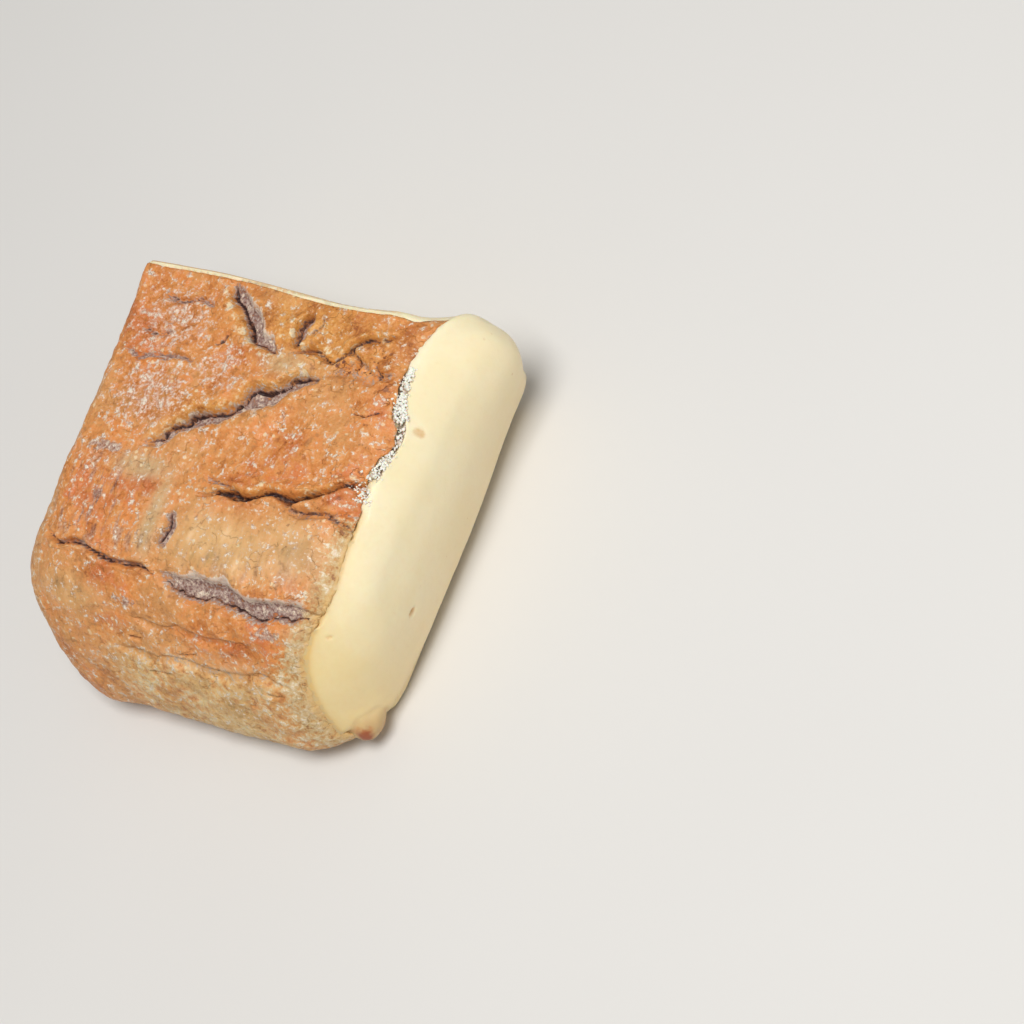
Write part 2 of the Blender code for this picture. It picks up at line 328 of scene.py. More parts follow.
NICKS = (
    Crease(((-39, 30.5), (-34, 28.5), (-28.5, 29)), 0.9, 0.9, 0.5, 0.6),
    Crease(((-2, -4.5), (3, -6), (8, -6.5)), 0.6, 0.7, 0.6, 0.6),
    Crease(((31, 18.3), (36, 18.6), (40, 20)), 0.45, 0.6, 0.0, 0.8),
    Crease(((24, 6.8), (25.5, 4), (26.5, 1)), 0.5, 0.3, 0.0, 0.2),
    Crease(((36, -9), (39, -6), (42.5, -5)), 0.6, 0.7, 0.5, 0.6),
    Crease(((12, 34), (14, 38), (13, 41)), 0.5, 0.5, 0.0, 0.5, 0.4),
    Crease(((-11, 33), (-13, 30), (-15.5, 28.5)), 0.5, 0.6, 0.0, 0.7, 0.4),
    Crease(((24, 34.5), (26.5, 31.5), (27, 28)), 0.6, 0.8, 0.2, 0.8, 0.3),
    Crease(((33, 31.5), (35, 29), (34.5, 26.5)), 0.6, 0.8, 0.1, 0.8, 0.2),
    Crease(((-18, -59.5), (-14, -60.5)), 0.6, 0.8, 0.0, 0.9),
    Crease(((-14, -72.5), (-9, -71.5), (-4, -72)), 0.6, 0.7, 0.0, 0.6),
    Crease(((-2, -61), (5, -60)), 0.5, 0.5, 0.2, 0.5),
    Crease(((6, -63.5), (10, -65.5)), 0.5, 0.6, 0.0, 0.7),
    Crease(((17, -77.5), (20, -76.5)), 0.8, 0.4, 0.4, 0.3),
    Crease(((24, -70), (29, -69)), 0.6, 0.6, 0.2, 0.5),
)


@dataclass(frozen=True)
class Spot:
    """A soft oval on the unrolled rind, in millimetres."""

    across: float
    along: float
    reach_across: float
    reach_along: float
    strength: float = 1.0

    def share(self, flat: Points) -> Points:
        """How far each unrolled point lies within the oval, from 0 to its strength."""
        u = (flat[:, 0] / MM - self.across) / self.reach_across
        v = (flat[:, 1] / MM - self.along) / self.reach_along
        return self.strength * np.exp(-((u * u + v * v) ** 1.5))


def most(spots: tuple[Spot, ...], flat: Points) -> Points:
    """The largest share that any of the spots has at each point."""
    return np.max([spot.share(flat) for spot in spots], axis=0)


@dataclass(frozen=True)
class Patches:
    """Where the rind changes its look."""

    dust: tuple[Spot, ...] = (
        Spot(-30, 33, 15, 12, 0.95), Spot(-28, 13, 15, 11, 1.0), Spot(-11, 22, 13, 9, 0.8), Spot(-6, 4, 9, 5, 0.5),
        Spot(10, 6, 14, 8, 0.35), Spot(30, 0, 9, 5, 0.35), Spot(-40, -8, 8, 10, 0.4), Spot(-14, -46, 9, 4, 0.55),
    )
    peach: tuple[Spot, ...] = (Spot(10, -21, 19, 9, 1.0), Spot(28, -17, 12, 9, 0.7), Spot(-34, -47, 12, 8, 0.6))
    beige: tuple[Spot, ...] = (
        Spot(-21, -5.5, 9, 3.2, 0.9), Spot(-12.5, -17, 2.6, 12, 0.85), Spot(38, -44, 6, 5, 0.8),
        Spot(8, 27, 7, 3, 0.7), Spot(40, -27, 4, 5, 0.5), Spot(33, -20, 6, 6, 0.4),
    )
    smear: tuple[Spot, ...] = (
        Spot(-35, -2.5, 6, 1.8, 1.0), Spot(-16, -45, 5, 2.2, 0.8), Spot(-6, 40, 4, 2, 0.4), Spot(26, -45, 5, 3, 0.7),
    )
    streaks: tuple[Spot, ...] = (Spot(-33, -17, 12, 12, 1.0), Spot(-20, -22, 9, 8, 0.7), Spot(20, -26, 20, 6, 0.4))
    broken: tuple[Spot, ...] = (Spot(30, 30, 13, 5, 1.0), Spot(39, 14, 4, 22, 0.5), Spot(33, -9, 12, 4, 0.5))
    ochre: tuple[Spot, ...] = (Spot(14, 37, 26, 9, 0.9), Spot(-14, 12, 16, 4, 0.5))


@dataclass
class Skin:
    """What a set of points on the block knows: how far it stands out, and its share of each look."""

    rise: Points
    looks: dict[str, Points]


@dataclass(frozen=True)
class Eye:
    """A small hole or dimple in the paste at the broad cut, and how strongly it is tinted."""

    y: float
    z: float
    radius: float
    depth: float
    tint: float


EYES = (
    Eye(19.0 * MM, 42.3 * MM, 1.2 * MM, 0.25 * MM, 0.8),
    Eye(-18.4 * MM, 19.5 * MM, 0.85 * MM, 0.8 * MM, 0.8),
    Eye(-33.5 * MM, 37.7 * MM, 0.6 * MM, 0.35 * MM, 0.5),
    Eye(-12.0 * MM, 21.0 * MM, 0.4 * MM, 0.2 * MM, 0.35),
)


@dataclass(frozen=True)
class Lip:
    """The bead of paste that has run out over the lower front corner of the broad cut.

    A groove runs round it, with a notch where it meets the rind's foot, and a red spot lies beside the notch.
    """

    centre: tuple[float, float, float] = (41.8, -47.2, 6.6)
    reach: float = 6.2 * MM
    rise: float = 4.6 * MM
    groove_at: float = 6.6 * MM
    groove_width: float = 1.3 * MM
    groove: float = 0.7 * MM
    notch_at: tuple[float, float, float] = (37.6, -48.6, 10.6)
    notch_reach: float = 1.8 * MM
    notch: float = 1.0 * MM
    lump: float = 0.35 * MM
    lump_size: float = 2.6 * MM
    waver: float = 0.12
    waver_size: float = 6.0 * MM
    spot_at: tuple[float, float, float] = (40.1, -47.0, 9.5)
    spot_reach: float = 1.9 * MM

    def rise_at(self, at: Points) -> Points:
        """How far it pushes each point out."""
        away = gap_to(at, self.centre) * (1.0 + self.waver * noise_at(at, self.waver_size))
        groove = self.groove * bell(away - self.groove_at, self.groove_width)
        groove = groove + self.notch * bell(gap_to(at, self.notch_at), self.notch_reach)
        lumps = self.lump * noise_at(at, self.lump_size) * bell(away, self.groove_at, 4.0)
        return self.rise * bell(away, self.reach) - groove + lumps


LIP = Lip()


@dataclass(frozen=True)
class Relief:
    """The unevenness that is pressed into the block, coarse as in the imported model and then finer."""

    crease_lip: float = 0.25
    crease_uneven: float = 0.45
    wave: float = 0.75 * MM
    wave_size: float = 17.0 * MM
    grain: float = 0.3 * MM
    grain_size: float = 5.0 * MM
    wander: float = 1.3 * MM
    wander_size: float = 8.0 * MM
    jag: float = 0.45 * MM
    jag_size: float = 2.4 * MM
    pebble: float = 0.2 * MM
    pebble_size: float = 2.0 * MM
    wrinkle: float = 0.3 * MM
    flake: float = 0.55 * MM
    broken_depth: float = 0.4 * MM
    paste_lip: float = 0.7 * MM
    paste_lip_reach: float = 1.3 * MM
    drawn: float = 0.8 * MM
    drawn_back: float = 1.1 * MM
    drawn_front: float = 1.0 * MM
    drawn_pillow: float = 2.0 * MM
    drawn_low: float = 1.2 * MM
    corner: float = 2.2 * MM
    corner_at: tuple[float, float, float] = (50.5, 48.5, 30.0)
    corner_reach: float = 14.0 * MM
    paste_wave: float = 0.2 * MM
    paste_wave_size: float = 22.0 * MM
    paste_ripple: float = 0.05 * MM
    curl: float = 0.6 * MM
    curl_up: float = 0.3 * MM
    curl_reach: float = 1.7 * MM
    seam_depth: float = 0.8 * MM
    seam_width: float = 0.36 * MM
    seam_at: float = 0.55
    halo_reach: float = 1.9 * MM
    spare: float = 1.6 * MM
    patches: Patches = Patches()

    def unrolled(self, at: Points, normals: Points) -> Points:
        """Lays the upper rind and the front side out flat, with the front running on below the top."""
        turn = smooth(-normals[:, 1] * 1.6)
        return np.stack([at[:, 0], at[:, 1] - (BLOCK.height - at[:, 2]) * turn], axis=1)

    def wandering(self, at: Points, normals: Points) -> tuple[Points, Points, Points]:
        """The unrolled points, the same moved about by noise, and the slow noise of the creases' size."""
        flat = self.unrolled(at, normals)
        shift = [noise_at(at, self.wander_size), noise_at(at + self.wander_size, self.wander_size)]
        return flat, flat + self.wander * np.stack(shift, axis=1), noise_at(at - self.wander_size, self.wander_size)

    def gap_share(self, y: Points) -> Points:
        """Where along the broad cut the rind has broken away from the paste, from 0 to 1."""
        return np.maximum(rising(y, 2.0, 6.0) * falling(y, 29.0, 34.0), 0.35 * bell(y + 4.0 * MM, 3.0 * MM))

    def creased(
        self, flat: Points, uneven: Points, ragged: Points, spare: float = 0.0
    ) -> tuple[Points, dict[str, Points]]:
        """Presses every crease and nick.

        Args:
            flat: The wandering unrolled points.
            uneven: Slow noise that lets a crease's width and depth come and go.
            ragged: Quick noise that roughens its edges.
            spare: How much wider the creases are made, for what lies below the surface.

        Returns:
            How far each point lies in, and its shares of mould, of light bloom, of dark split with painted trough
            shade, and of amber halo.
        """
        depth = np.zeros(len(flat))
        looks = {name: np.zeros(len(flat)) for name in ("mould", "bloom", "dark", "halo")}
        # A crease's own reach is the unit of the numbers below: its trough, its shoulder, its seam and its stains.
        for crease in CREASES + NICKS:
            gap, here, side = crease.nearest(flat)
            fade = smooth(np.minimum(here, 1.0 - here) * 5.0) ** 0.6
            taper = fade * (1.0 + self.crease_uneven * uneven)
            reach = crease.half_width * MM * np.maximum(taper, 0.02)
            small = min(1.0, crease.half_width)
            edge = gap + self.jag * ragged * small - spare
            aside = side * crease.lean * gap / reach
            trough = 1.0 - smooth((edge - 0.4 * reach) / (0.9 * reach))
            shoulder = self.crease_lip * bell(gap - 2.0 * reach, reach)
            seam = (aside - self.seam_at - 0.2 * ragged) * reach / (self.seam_width * small)
            seam = np.where(seam > 0.0, seam / (1.0 + 0.9 * uneven), seam * 0.7)
            split = crease.split * fade * (1.0 - smooth(np.abs(seam) - 0.3)) * smooth((1.4 * reach - edge) / reach)
            split = np.maximum(split, trough * np.sign(spare))
            depth += crease.depth * MM * taper * (trough - shoulder) + self.seam_depth * small * split
            covered = smooth((1.25 * reach - edge) / (0.6 * reach)) * smooth(1.3 - aside)
            far = smooth((-aside - 0.25) / 0.7) * smooth((1.7 * reach - edge) / (0.6 * reach))
            stain = bell(np.maximum(gap - reach, 0.0), self.halo_reach)
            found = {
                "mould": crease.mould * covered * fade,
                "bloom": crease.mould * far * fade,
                # dark: the split's own dark seam, and painted shade over the trough where there is little mould
                "dark": np.maximum(split, crease.split * (1.0 - crease.mould) * trough * 0.7 * fade),
                "halo": crease.halo * fade * stain * (0.6 + 0.4 * np.clip(aside, -1.0, 1.0)),
            }
            looks = {name: np.maximum(looks[name], found[name]) for name in looks}
        return depth, looks

    def edge_share(self, at: Points) -> Points:
        """How deep the creases still go near the second cut, where they run out."""
        return 0.25 + 0.75 * falling(BLOCK.walls(at)[3], -5.0, 0.0)

    def coarse(self, at: Points) -> Points:
        """The broad waves of the rind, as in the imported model."""
        return self.wave * noise_at(at, self.wave_size) + self.grain * noise_at(at + 0.5, self.grain_size)

    def rind(self, at: Points, normals: Points) -> Skin:
        """Works out the rind's outer surface.

        Args:
            at: Points on the smooth block.
            normals: The block's outward directions there.

        Returns:
            How far each point stands out, and its looks.
        """
        x, y, z = at.T
        flat, moved, uneven = self.wandering(at, normals)
        ragged = noise_at(at + 0.2, self.jag_size)
        depth, looks = self.creased(moved, uneven, ragged)
        upper = rising(z, 6.0, 14.0)
        looks = {name: share * upper for name, share in looks.items()}
        looks["below"] = np.maximum(self.creased(moved, uneven, 0.0 * ragged, self.spare)[0] - depth, 0.0)
        for name, spots in vars(self.patches).items():
            looks[name] = most(spots, flat) * upper
        low_front = falling(flat[:, 1], -74.0, -52.0) * rising(x, -40.0, -14.0)
        looks["pale"] = np.maximum(low_front, 0.5 * np.maximum(falling(x, -48.5, -44.5), 1.0 - upper))
        short = BLOCK.rind_end(at) - x
        end_reach = (3.2 + 4.0 * falling(flat[:, 1], -62.0, -42.0)) * MM
        looks["end"] = falling(y, -12.0, -4.0) * bell(np.maximum(short + 0.8 * MM * ragged, 0.0), end_reach)
        calm = 1.0 - 0.75 * looks["peach"] - 0.4 * looks["beige"]
        pebbles = self.pebble * calm * noise_at(at + 0.3, self.pebble_size, 3)
        fibre = noise_at(at * np.array([1.0, 0.22, 0.6]) + 0.7, 2.2 * MM)
        wrinkles = -self.wrinkle * (0.35 + looks["streaks"]) * calm * np.clip(1.0 - 3.5 * np.abs(fibre), 0.0, 1.0)
        flakes = self.flake * looks["broken"] * smooth(noise_at(at + 0.9, 3.2 * MM, 3) * 5.0 + 0.5)
        curl = blend(-self.curl, self.curl_up, self.gap_share(y)) * bell(np.maximum(short, 0.0), self.curl_reach)
        rise = self.coarse(at) - depth * upper * self.edge_share(at) + pebbles + wrinkles + flakes
        rise = rise - self.broken_depth * looks["broken"]
        return Skin(rise + curl * upper, looks)

    def paste(self, at: Points, normals: Points, cover: Points) -> Skin:
        """Works out the paste's surface, which follows the rind where the rind covers it.

        Args:
            at: Points on the block, already moved in under the rind.
            normals: The outward directions there.
            cover: How far each point follows the rind, from 0 at the cuts to 1 under the rind.

        Returns:
            How far each point stands out, and its looks.
        """
        x, y, z = at.T
        _, _, cut, second, _ = BLOCK.walls(at)
        _, moved, uneven = self.wandering(at, normals)
        depth = self.creased(moved, uneven, np.zeros(len(at)), self.spare)[0] * self.edge_share(at)
        swell = self.paste_wave * noise_at(at, self.paste_wave_size) + self.paste_ripple * noise_at(at, 4.0 * MM)
        eye_share = np.zeros(len(at))
        eyes = np.zeros(len(at))
        for eye in EYES:
            away = np.hypot((y - eye.y) * (1.0 + 0.4 * uneven), z - eye.z) / eye.radius
            eyes += eye.depth * bell(away, 1.0, 3.0)
            eye_share = np.maximum(eye_share, eye.tint * bell(away, 1.2, 4.0))
        on_cut = rising(cut, -12.0, -8.0)
        past = np.maximum(x - BLOCK.rind_end(at), 0.0)
        bulge = self.paste_lip * rising(y, -12.0, 2.0) * (1.0 - np.exp(-past / self.paste_lip_reach))
        bulge = bulge * (1.0 - smooth((normals[:, 0] - 0.4) / 0.5))
        drawn = self.drawn + self.drawn_back * rising(y, 5.0, 40.0) + self.drawn_front * falling(y, -40.0, -15.0)
        drawn = (drawn + self.drawn_low * (falling(z, 6.0, 30.0) - 0.3)) * rising(cut, -14.0, 0.0)
        drawn = drawn - self.corner * bell(gap_to(at, self.corner_at), self.corner_reach)
        pillow = rising(second, -12.0, 0.0) * rising(past, 0.0, 5.0) * falling(past, 3.0, 12.0)
        drawn = drawn + self.drawn_pillow * pillow
        covered = (self.coarse(at) - depth * rising(z, 6.0, 14.0)) * cover
        rise = covered + (swell - eyes * on_cut) * (1.0 - cover) + bulge + LIP.rise_at(at) - drawn
        looks = {
            "eye": eye_share * on_cut,
            "lip": bell(gap_to(at, LIP.centre), LIP.groove_at, 8.0),
            "spot": bell(gap_to(at, LIP.spot_at), LIP.spot_reach),
            # side: the cut face towards its foot, which the finish paints warmer and darker as painted shade
            "side": falling(z, 4.0, 44.0) * on_cut,
        }
        return Skin(rise, looks)


RELIEF = Relief()


def gridded_cube(spacing: float) -> bmesh.types.BMesh:
    """A cube from -1 to 1 whose grid has about this spacing once it has the block's size.

    Args:
        spacing: The wanted size of its faces.

    Returns:
        The cube. A layer keeps each point's place on it, its seat, which later divisions interpolate.
    """
    mesh = bmesh.new()
    bmesh.ops.create_cube(mesh, size=2.0)
    for axis, half in enumerate(BLOCK.half):
        edges = [e for e in mesh.edges if abs(e.verts[0].co[axis] - e.verts[1].co[axis]) > 0.9 * e.calc_length()]
        bmesh.ops.subdivide_edges(mesh, edges=edges, cuts=round(2.0 * half / spacing) - 1, use_grid_fill=True)
    seat = mesh.verts.layers.float_vector.new("seat")
    mesh.verts.layers.float.new("layer")
    for vert in mesh.verts:
        vert[seat] = vert.co
    return mesh


def refine(mesh: bmesh.types.BMesh, level: Level, wanted: Callable[[Vector, float], bool]) -> None:
    """Halves the grid where both points of an edge pass a test.

    Args:
        mesh: The gridded cube.
        level: How many times.
        wanted: The test, which takes a point's seat and its layer.
    """
    seat, layer = mesh.verts.layers.float_vector["seat"], mesh.verts.layers.float["layer"]
    for _ in range(level.value):
        chosen = {v for v in mesh.verts if wanted(v[seat], v[layer])}
        edges = [e for e in mesh.edges if e.verts[0] in chosen and e.verts[1] in chosen]
        bmesh.ops.subdivide_edges(mesh, edges=edges, cuts=1, use_grid_fill=True)


def outward(at: Points, inset: Inset | None = None) -> Points:
    """The block's outward direction at each point.

    Args:
        at: The points.
        inset: How far the covered walls are moved in at points, if they are.

    Returns:
        One unit direction a point.
    """
    slopes = []
    for step in np.eye(3) * 0.05 * MM:
        ends = [BLOCK.form(p, inset(p) if inset else 0.0) for p in (at + step, at - step)]
        slopes.append(ends[0] - ends[1])
    direction = np.stack(slopes, axis=1)
    return direction / np.linalg.norm(direction, axis=1, keepdims=True)


def cast(core: Points, start: Points, inset: Inset | None = None) -> Points:
    """Follows rays from the core through their starts and out to the block's surface.

    Args:
        core: Where the rays leave from, inside the block.
        start: Points that they pass through.
        inset: How far the covered walls are moved in at points, if they are.

    Returns:
        Where each ray meets the surface.
    """
    ray = start - core
    ray /= np.linalg.norm(ray, axis=1, keepdims=True)
    near = np.zeros(len(core))
    far = np.full(len(core), 3.0 * BLOCK.margin)
    for _ in range(22):
        guess = (near + far) / 2.0
        at = core + ray * guess[:, None]
        inside = BLOCK.form(at, inset(at) if inset else 0.0) < 0.0
        near = np.where(inside, guess, near)
        far = np.where(inside, far, guess)
    return core + ray * near[:, None]


def drawn_out(seats: Points, inset: Inset | None = None) -> Points:
    """Draws the seats of a closed cube out onto the whole block."""
    start = seats * BLOCK.half + BLOCK.middle
    reach = BLOCK.half - BLOCK.margin
    return cast(np.clip(start, BLOCK.middle - reach, BLOCK.middle + reach), start, inset)


def pressed(at: Points, normals: Points, rise: Points) -> Points:
    """Moves points out by their rise, fading to none at the flat base that the piece rests on."""
    moved = at + normals * (rise * rising(at[:, 2], 0.2, 2.2))[:, None]
    moved[:, 2] = np.where(at[:, 2] < 0.2 * MM, 0.0, np.maximum(moved[:, 2], 0.0))
    return moved


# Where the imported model's origin lies in the block's frame.
MIDDLE = Vector((-0.757 * MM, -0.886 * MM, 0.0))


def placed(name: str, data: bpy.types.ID) -> bpy.types.Object:
    """Makes an object of this data and adds it to the scene."""
    made = bpy.data.objects.new(name, data)
    bpy.context.scene.collection.objects.link(made)
    return made


def as_piece(name: str, mesh: bmesh.types.BMesh, at: Points, looks: dict[str, Points]) -> bpy.types.Object:
    """Makes an object of a mesh whose points have been worked out.

    Args:
        name: The object's name.
        mesh: The mesh, which is freed.
        at: Where its points go, in the block's frame.
        looks: The attributes that its finish reads.

    Returns:
        The object, smooth, with its faces outwards.
    """
    low, high = np.array([tuple(corner) for corner in cad_box])
    for vert, place in zip(mesh.verts, np.clip(at - np.array(MIDDLE), low, high).tolist()):
        vert.co = place
    bmesh.ops.recalc_face_normals(mesh, faces=mesh.faces[:])
    for face in mesh.faces:
        face.smooth = True
    data = bpy.data.meshes.new(name)
    mesh.to_mesh(data)
    mesh.free()
    for look, values in looks.items():
        data.attributes.new(look, "FLOAT", "POINT").data.foreach_set("value", values.astype(np.float32))
    return placed(name, data)


def seats_of(mesh: bmesh.types.BMesh) -> tuple[Points, Points]:
    """The seats and layers of a gridded cube's points."""
    seat, layer = mesh.verts.layers.float_vector["seat"], mesh.verts.layers.float["layer"]
    return np.array([v[seat][:] for v in mesh.verts]), np.array([v[layer] for v in mesh.verts])


@dataclass(frozen=True)
class Field:
    """A socket of a material's tree, whose arithmetic adds Math nodes."""

    graph: "Graph"
    socket: bpy.types.NodeSocket

    def math(self, operation: str, first: "Field | float", second: "Field | float" = 0.0) -> "Field":
        """Adds a Math node.

        Args:
            operation: Which.
            first: Its first value.
            second: Its second value.

        Returns:
            Its result.
        """
        return self.graph.add("Math", {"operation": operation}, {0: first, 1: second})

    def __add__(self, other: "Field | float") -> "Field":
        """self + other."""
        return self.math("ADD", self, other)

    def __mul__(self, other: "Field | float") -> "Field":
        """self * other."""
        return self.math("MULTIPLY", self, other)

    def __sub__(self, other: "Field | float") -> "Field":
        """self - other."""
        return self.math("SUBTRACT", self, other)

    def __rsub__(self, other: float) -> "Field":
        """other - self."""
        return self.math("SUBTRACT", other, self)

    def __or__(self, other: "Field | float") -> "Field":
        """The larger of the two."""
        return self.math("MAXIMUM", self, other)

    def __and__(self, other: "Field | float") -> "Field":
        """The smaller of the two."""
        return self.math("MINIMUM", self, other)

    __radd__ = __add__
    __rmul__ = __mul__

    def step(self, low: "Field | float", high: "Field | float") -> "Field":
        """A soft step that rises from 0 at low to 1 at high."""
        settings = {"interpolation_type": "SMOOTHSTEP"}
        return self.graph.add("MapRange", settings, {"Value": self, "From Min": low, "From Max": high})


@dataclass(frozen=True)
class Graph:
    """A material's tree, with the one way that nodes are added to it."""

    material: bpy.types.Material

    @classmethod
    def start(cls, name: str) -> "Graph":
        """Starts a material of this name."""
        material = bpy.data.materials.new(name)
        material.use_nodes = True
        return cls(material)

    def fill(self, node: bpy.types.Node, values: dict[str | int, object]) -> None:
        """Links the fields among these values to a node's sockets, and sets the other sockets to constants."""
        for name, value in values.items():
            if isinstance(value, Field):
                self.material.node_tree.links.new(value.socket, node.inputs[name])
            else:
                node.inputs[name].default_value = value

    def dress(self, piece: bpy.types.Object, values: dict[str, object], slot: str | None = None) -> None:
        """Fills the shader's sockets and gives a piece the material.

        Args:
            piece: The piece.
            values: What the shader's sockets hold, or the fields linked to them.
            slot: Not used.
        """
        self.fill(self.material.node_tree.nodes["Principled BSDF"], values)
        piece.data.materials.append(self.material)

    def add(self, kind: str, settings: dict[str, object], values: dict[str | int, object], out: str | int = 0) -> Field:
        """Adds a node.

        Args:
            kind: Its type, without the leading ShaderNode.
            settings: Its properties, set first.
            values: What its sockets hold, or the fields linked to them.
            out: Which output is wanted.

        Returns:
            That output.
        """
        node = self.material.node_tree.nodes.new("ShaderNode" + kind)
        for name, value in settings.items():
            if name == "stops":
                self.set_stops(node.color_ramp, value)
            else:
                setattr(node, name, value)
        self.fill(node, values)
        return Field(self, node.outputs[out])

    def set_stops(self, ramp: bpy.types.ColorRamp, stops: Stops) -> None:
        """Gives a ramp its stops."""
        while len(ramp.elements) < len(stops):
            ramp.elements.new(1.0)
        for element, (position, colour) in zip(ramp.elements, stops):
            element.position = position
            element.color = colour

    def ramp(self, value: Field, stops: Stops) -> Field:
        """Turns a value into a colour."""
        return self.add("ValToRGB", {"stops": stops}, {"Fac": value}, "Color")

    def place(self) -> Field:
        """The point's own coordinates, in metres."""
        return self.add("TexCoord", {}, {}, "Object")

    def look(self, name: str) -> Field:
        """One of the mesh's attributes."""
        return self.add("Attribute", {"attribute_name": name}, {}, "Fac")

    def frayed(self, name: str, noise: Field, amount: float) -> Field:
        """One of the mesh's attributes, frayed by noise around 0.5."""
        return self.look(name) + (noise - 0.5) * amount

    def stretched(self, place: Field, by: tuple[float, float, float]) -> Field:
        """Coordinates multiplied by a factor along each axis."""
        return self.add("VectorMath", {"operation": "MULTIPLY"}, {0: place, 1: by})

    def shaken(self, place: Field, amount: float, size: float) -> Field:
        """Coordinates moved about by noise.

        Args:
            place: The coordinates.
            amount: How far.
            size: The noise's length.

        Returns:
            The new coordinates.
        """
        shake = self.add("TexNoise", {}, {"Vector": place, "Scale": 1.0 / size, "Detail": 2.0}, "Color")
        shift = self.add("VectorMath", {"operation": "SUBTRACT"}, {0: shake, 1: (0.5, 0.5, 0.5)})
        settings = {"operation": "MULTIPLY_ADD"}
        return self.add("VectorMath", settings, {0: shift, 1: (2.0 * amount,) * 3, 2: place})

    def noise(self, place: Field, size: float, detail: float = 3.0, rough: float = 0.55) -> Field:
        """Noise around 0.5.

        Args:
            place: The coordinates.
            size: The length of its longest waves.
            detail: How many finer waves it adds.
            rough: How strong they are.

        Returns:
            Its value.
        """
        values = {"Vector": place, "Scale": 1.0 / size, "Detail": detail, "Roughness": rough}
        return self.add("TexNoise", {}, values, "Fac")

    def cells(self, place: Field, size: float) -> Field:
        """Scattered cells: the distance to the middle of the nearest one, in cell sizes."""
        return self.add("TexVoronoi", {}, {"Vector": place, "Scale": 1.0 / size}, "Distance")

    def bump(self, height: Field, depth: float, strength: float = 1.0) -> Field:
        """Bends the surface's direction by a height, whose unit is this depth."""
        return self.add("Bump", {}, {"Height": height, "Distance": depth, "Strength": strength})

    def coat(self, under: "Field | Colour", over: "Field | Colour", share: "Field | float") -> Field:
        """Lays one colour over another.

        Args:
            under: The lower colour.
            over: The upper colour.
            share: How much of the upper one shows.

        Returns:
            The mixed colour.
        """
        return self.add("Mix", {"data_type": "RGBA"}, {0: share, 6: under, 7: over}, 2)

    def layered(self, base: "Field | Colour", *layers: "tuple[Field | Colour, Field | float]") -> Field:
        """Lays colours over a base in turn, each given with its share."""
        for over, share in layers:
            base = self.coat(base, over, share)
        return base


class Weave(NamedTuple):
    """What the rind's colours share: the graph, the coordinates, the same moved about, and two noises."""

    graph: Graph
    at: Field
    soft: Field
    grain: Field
    mid: Field


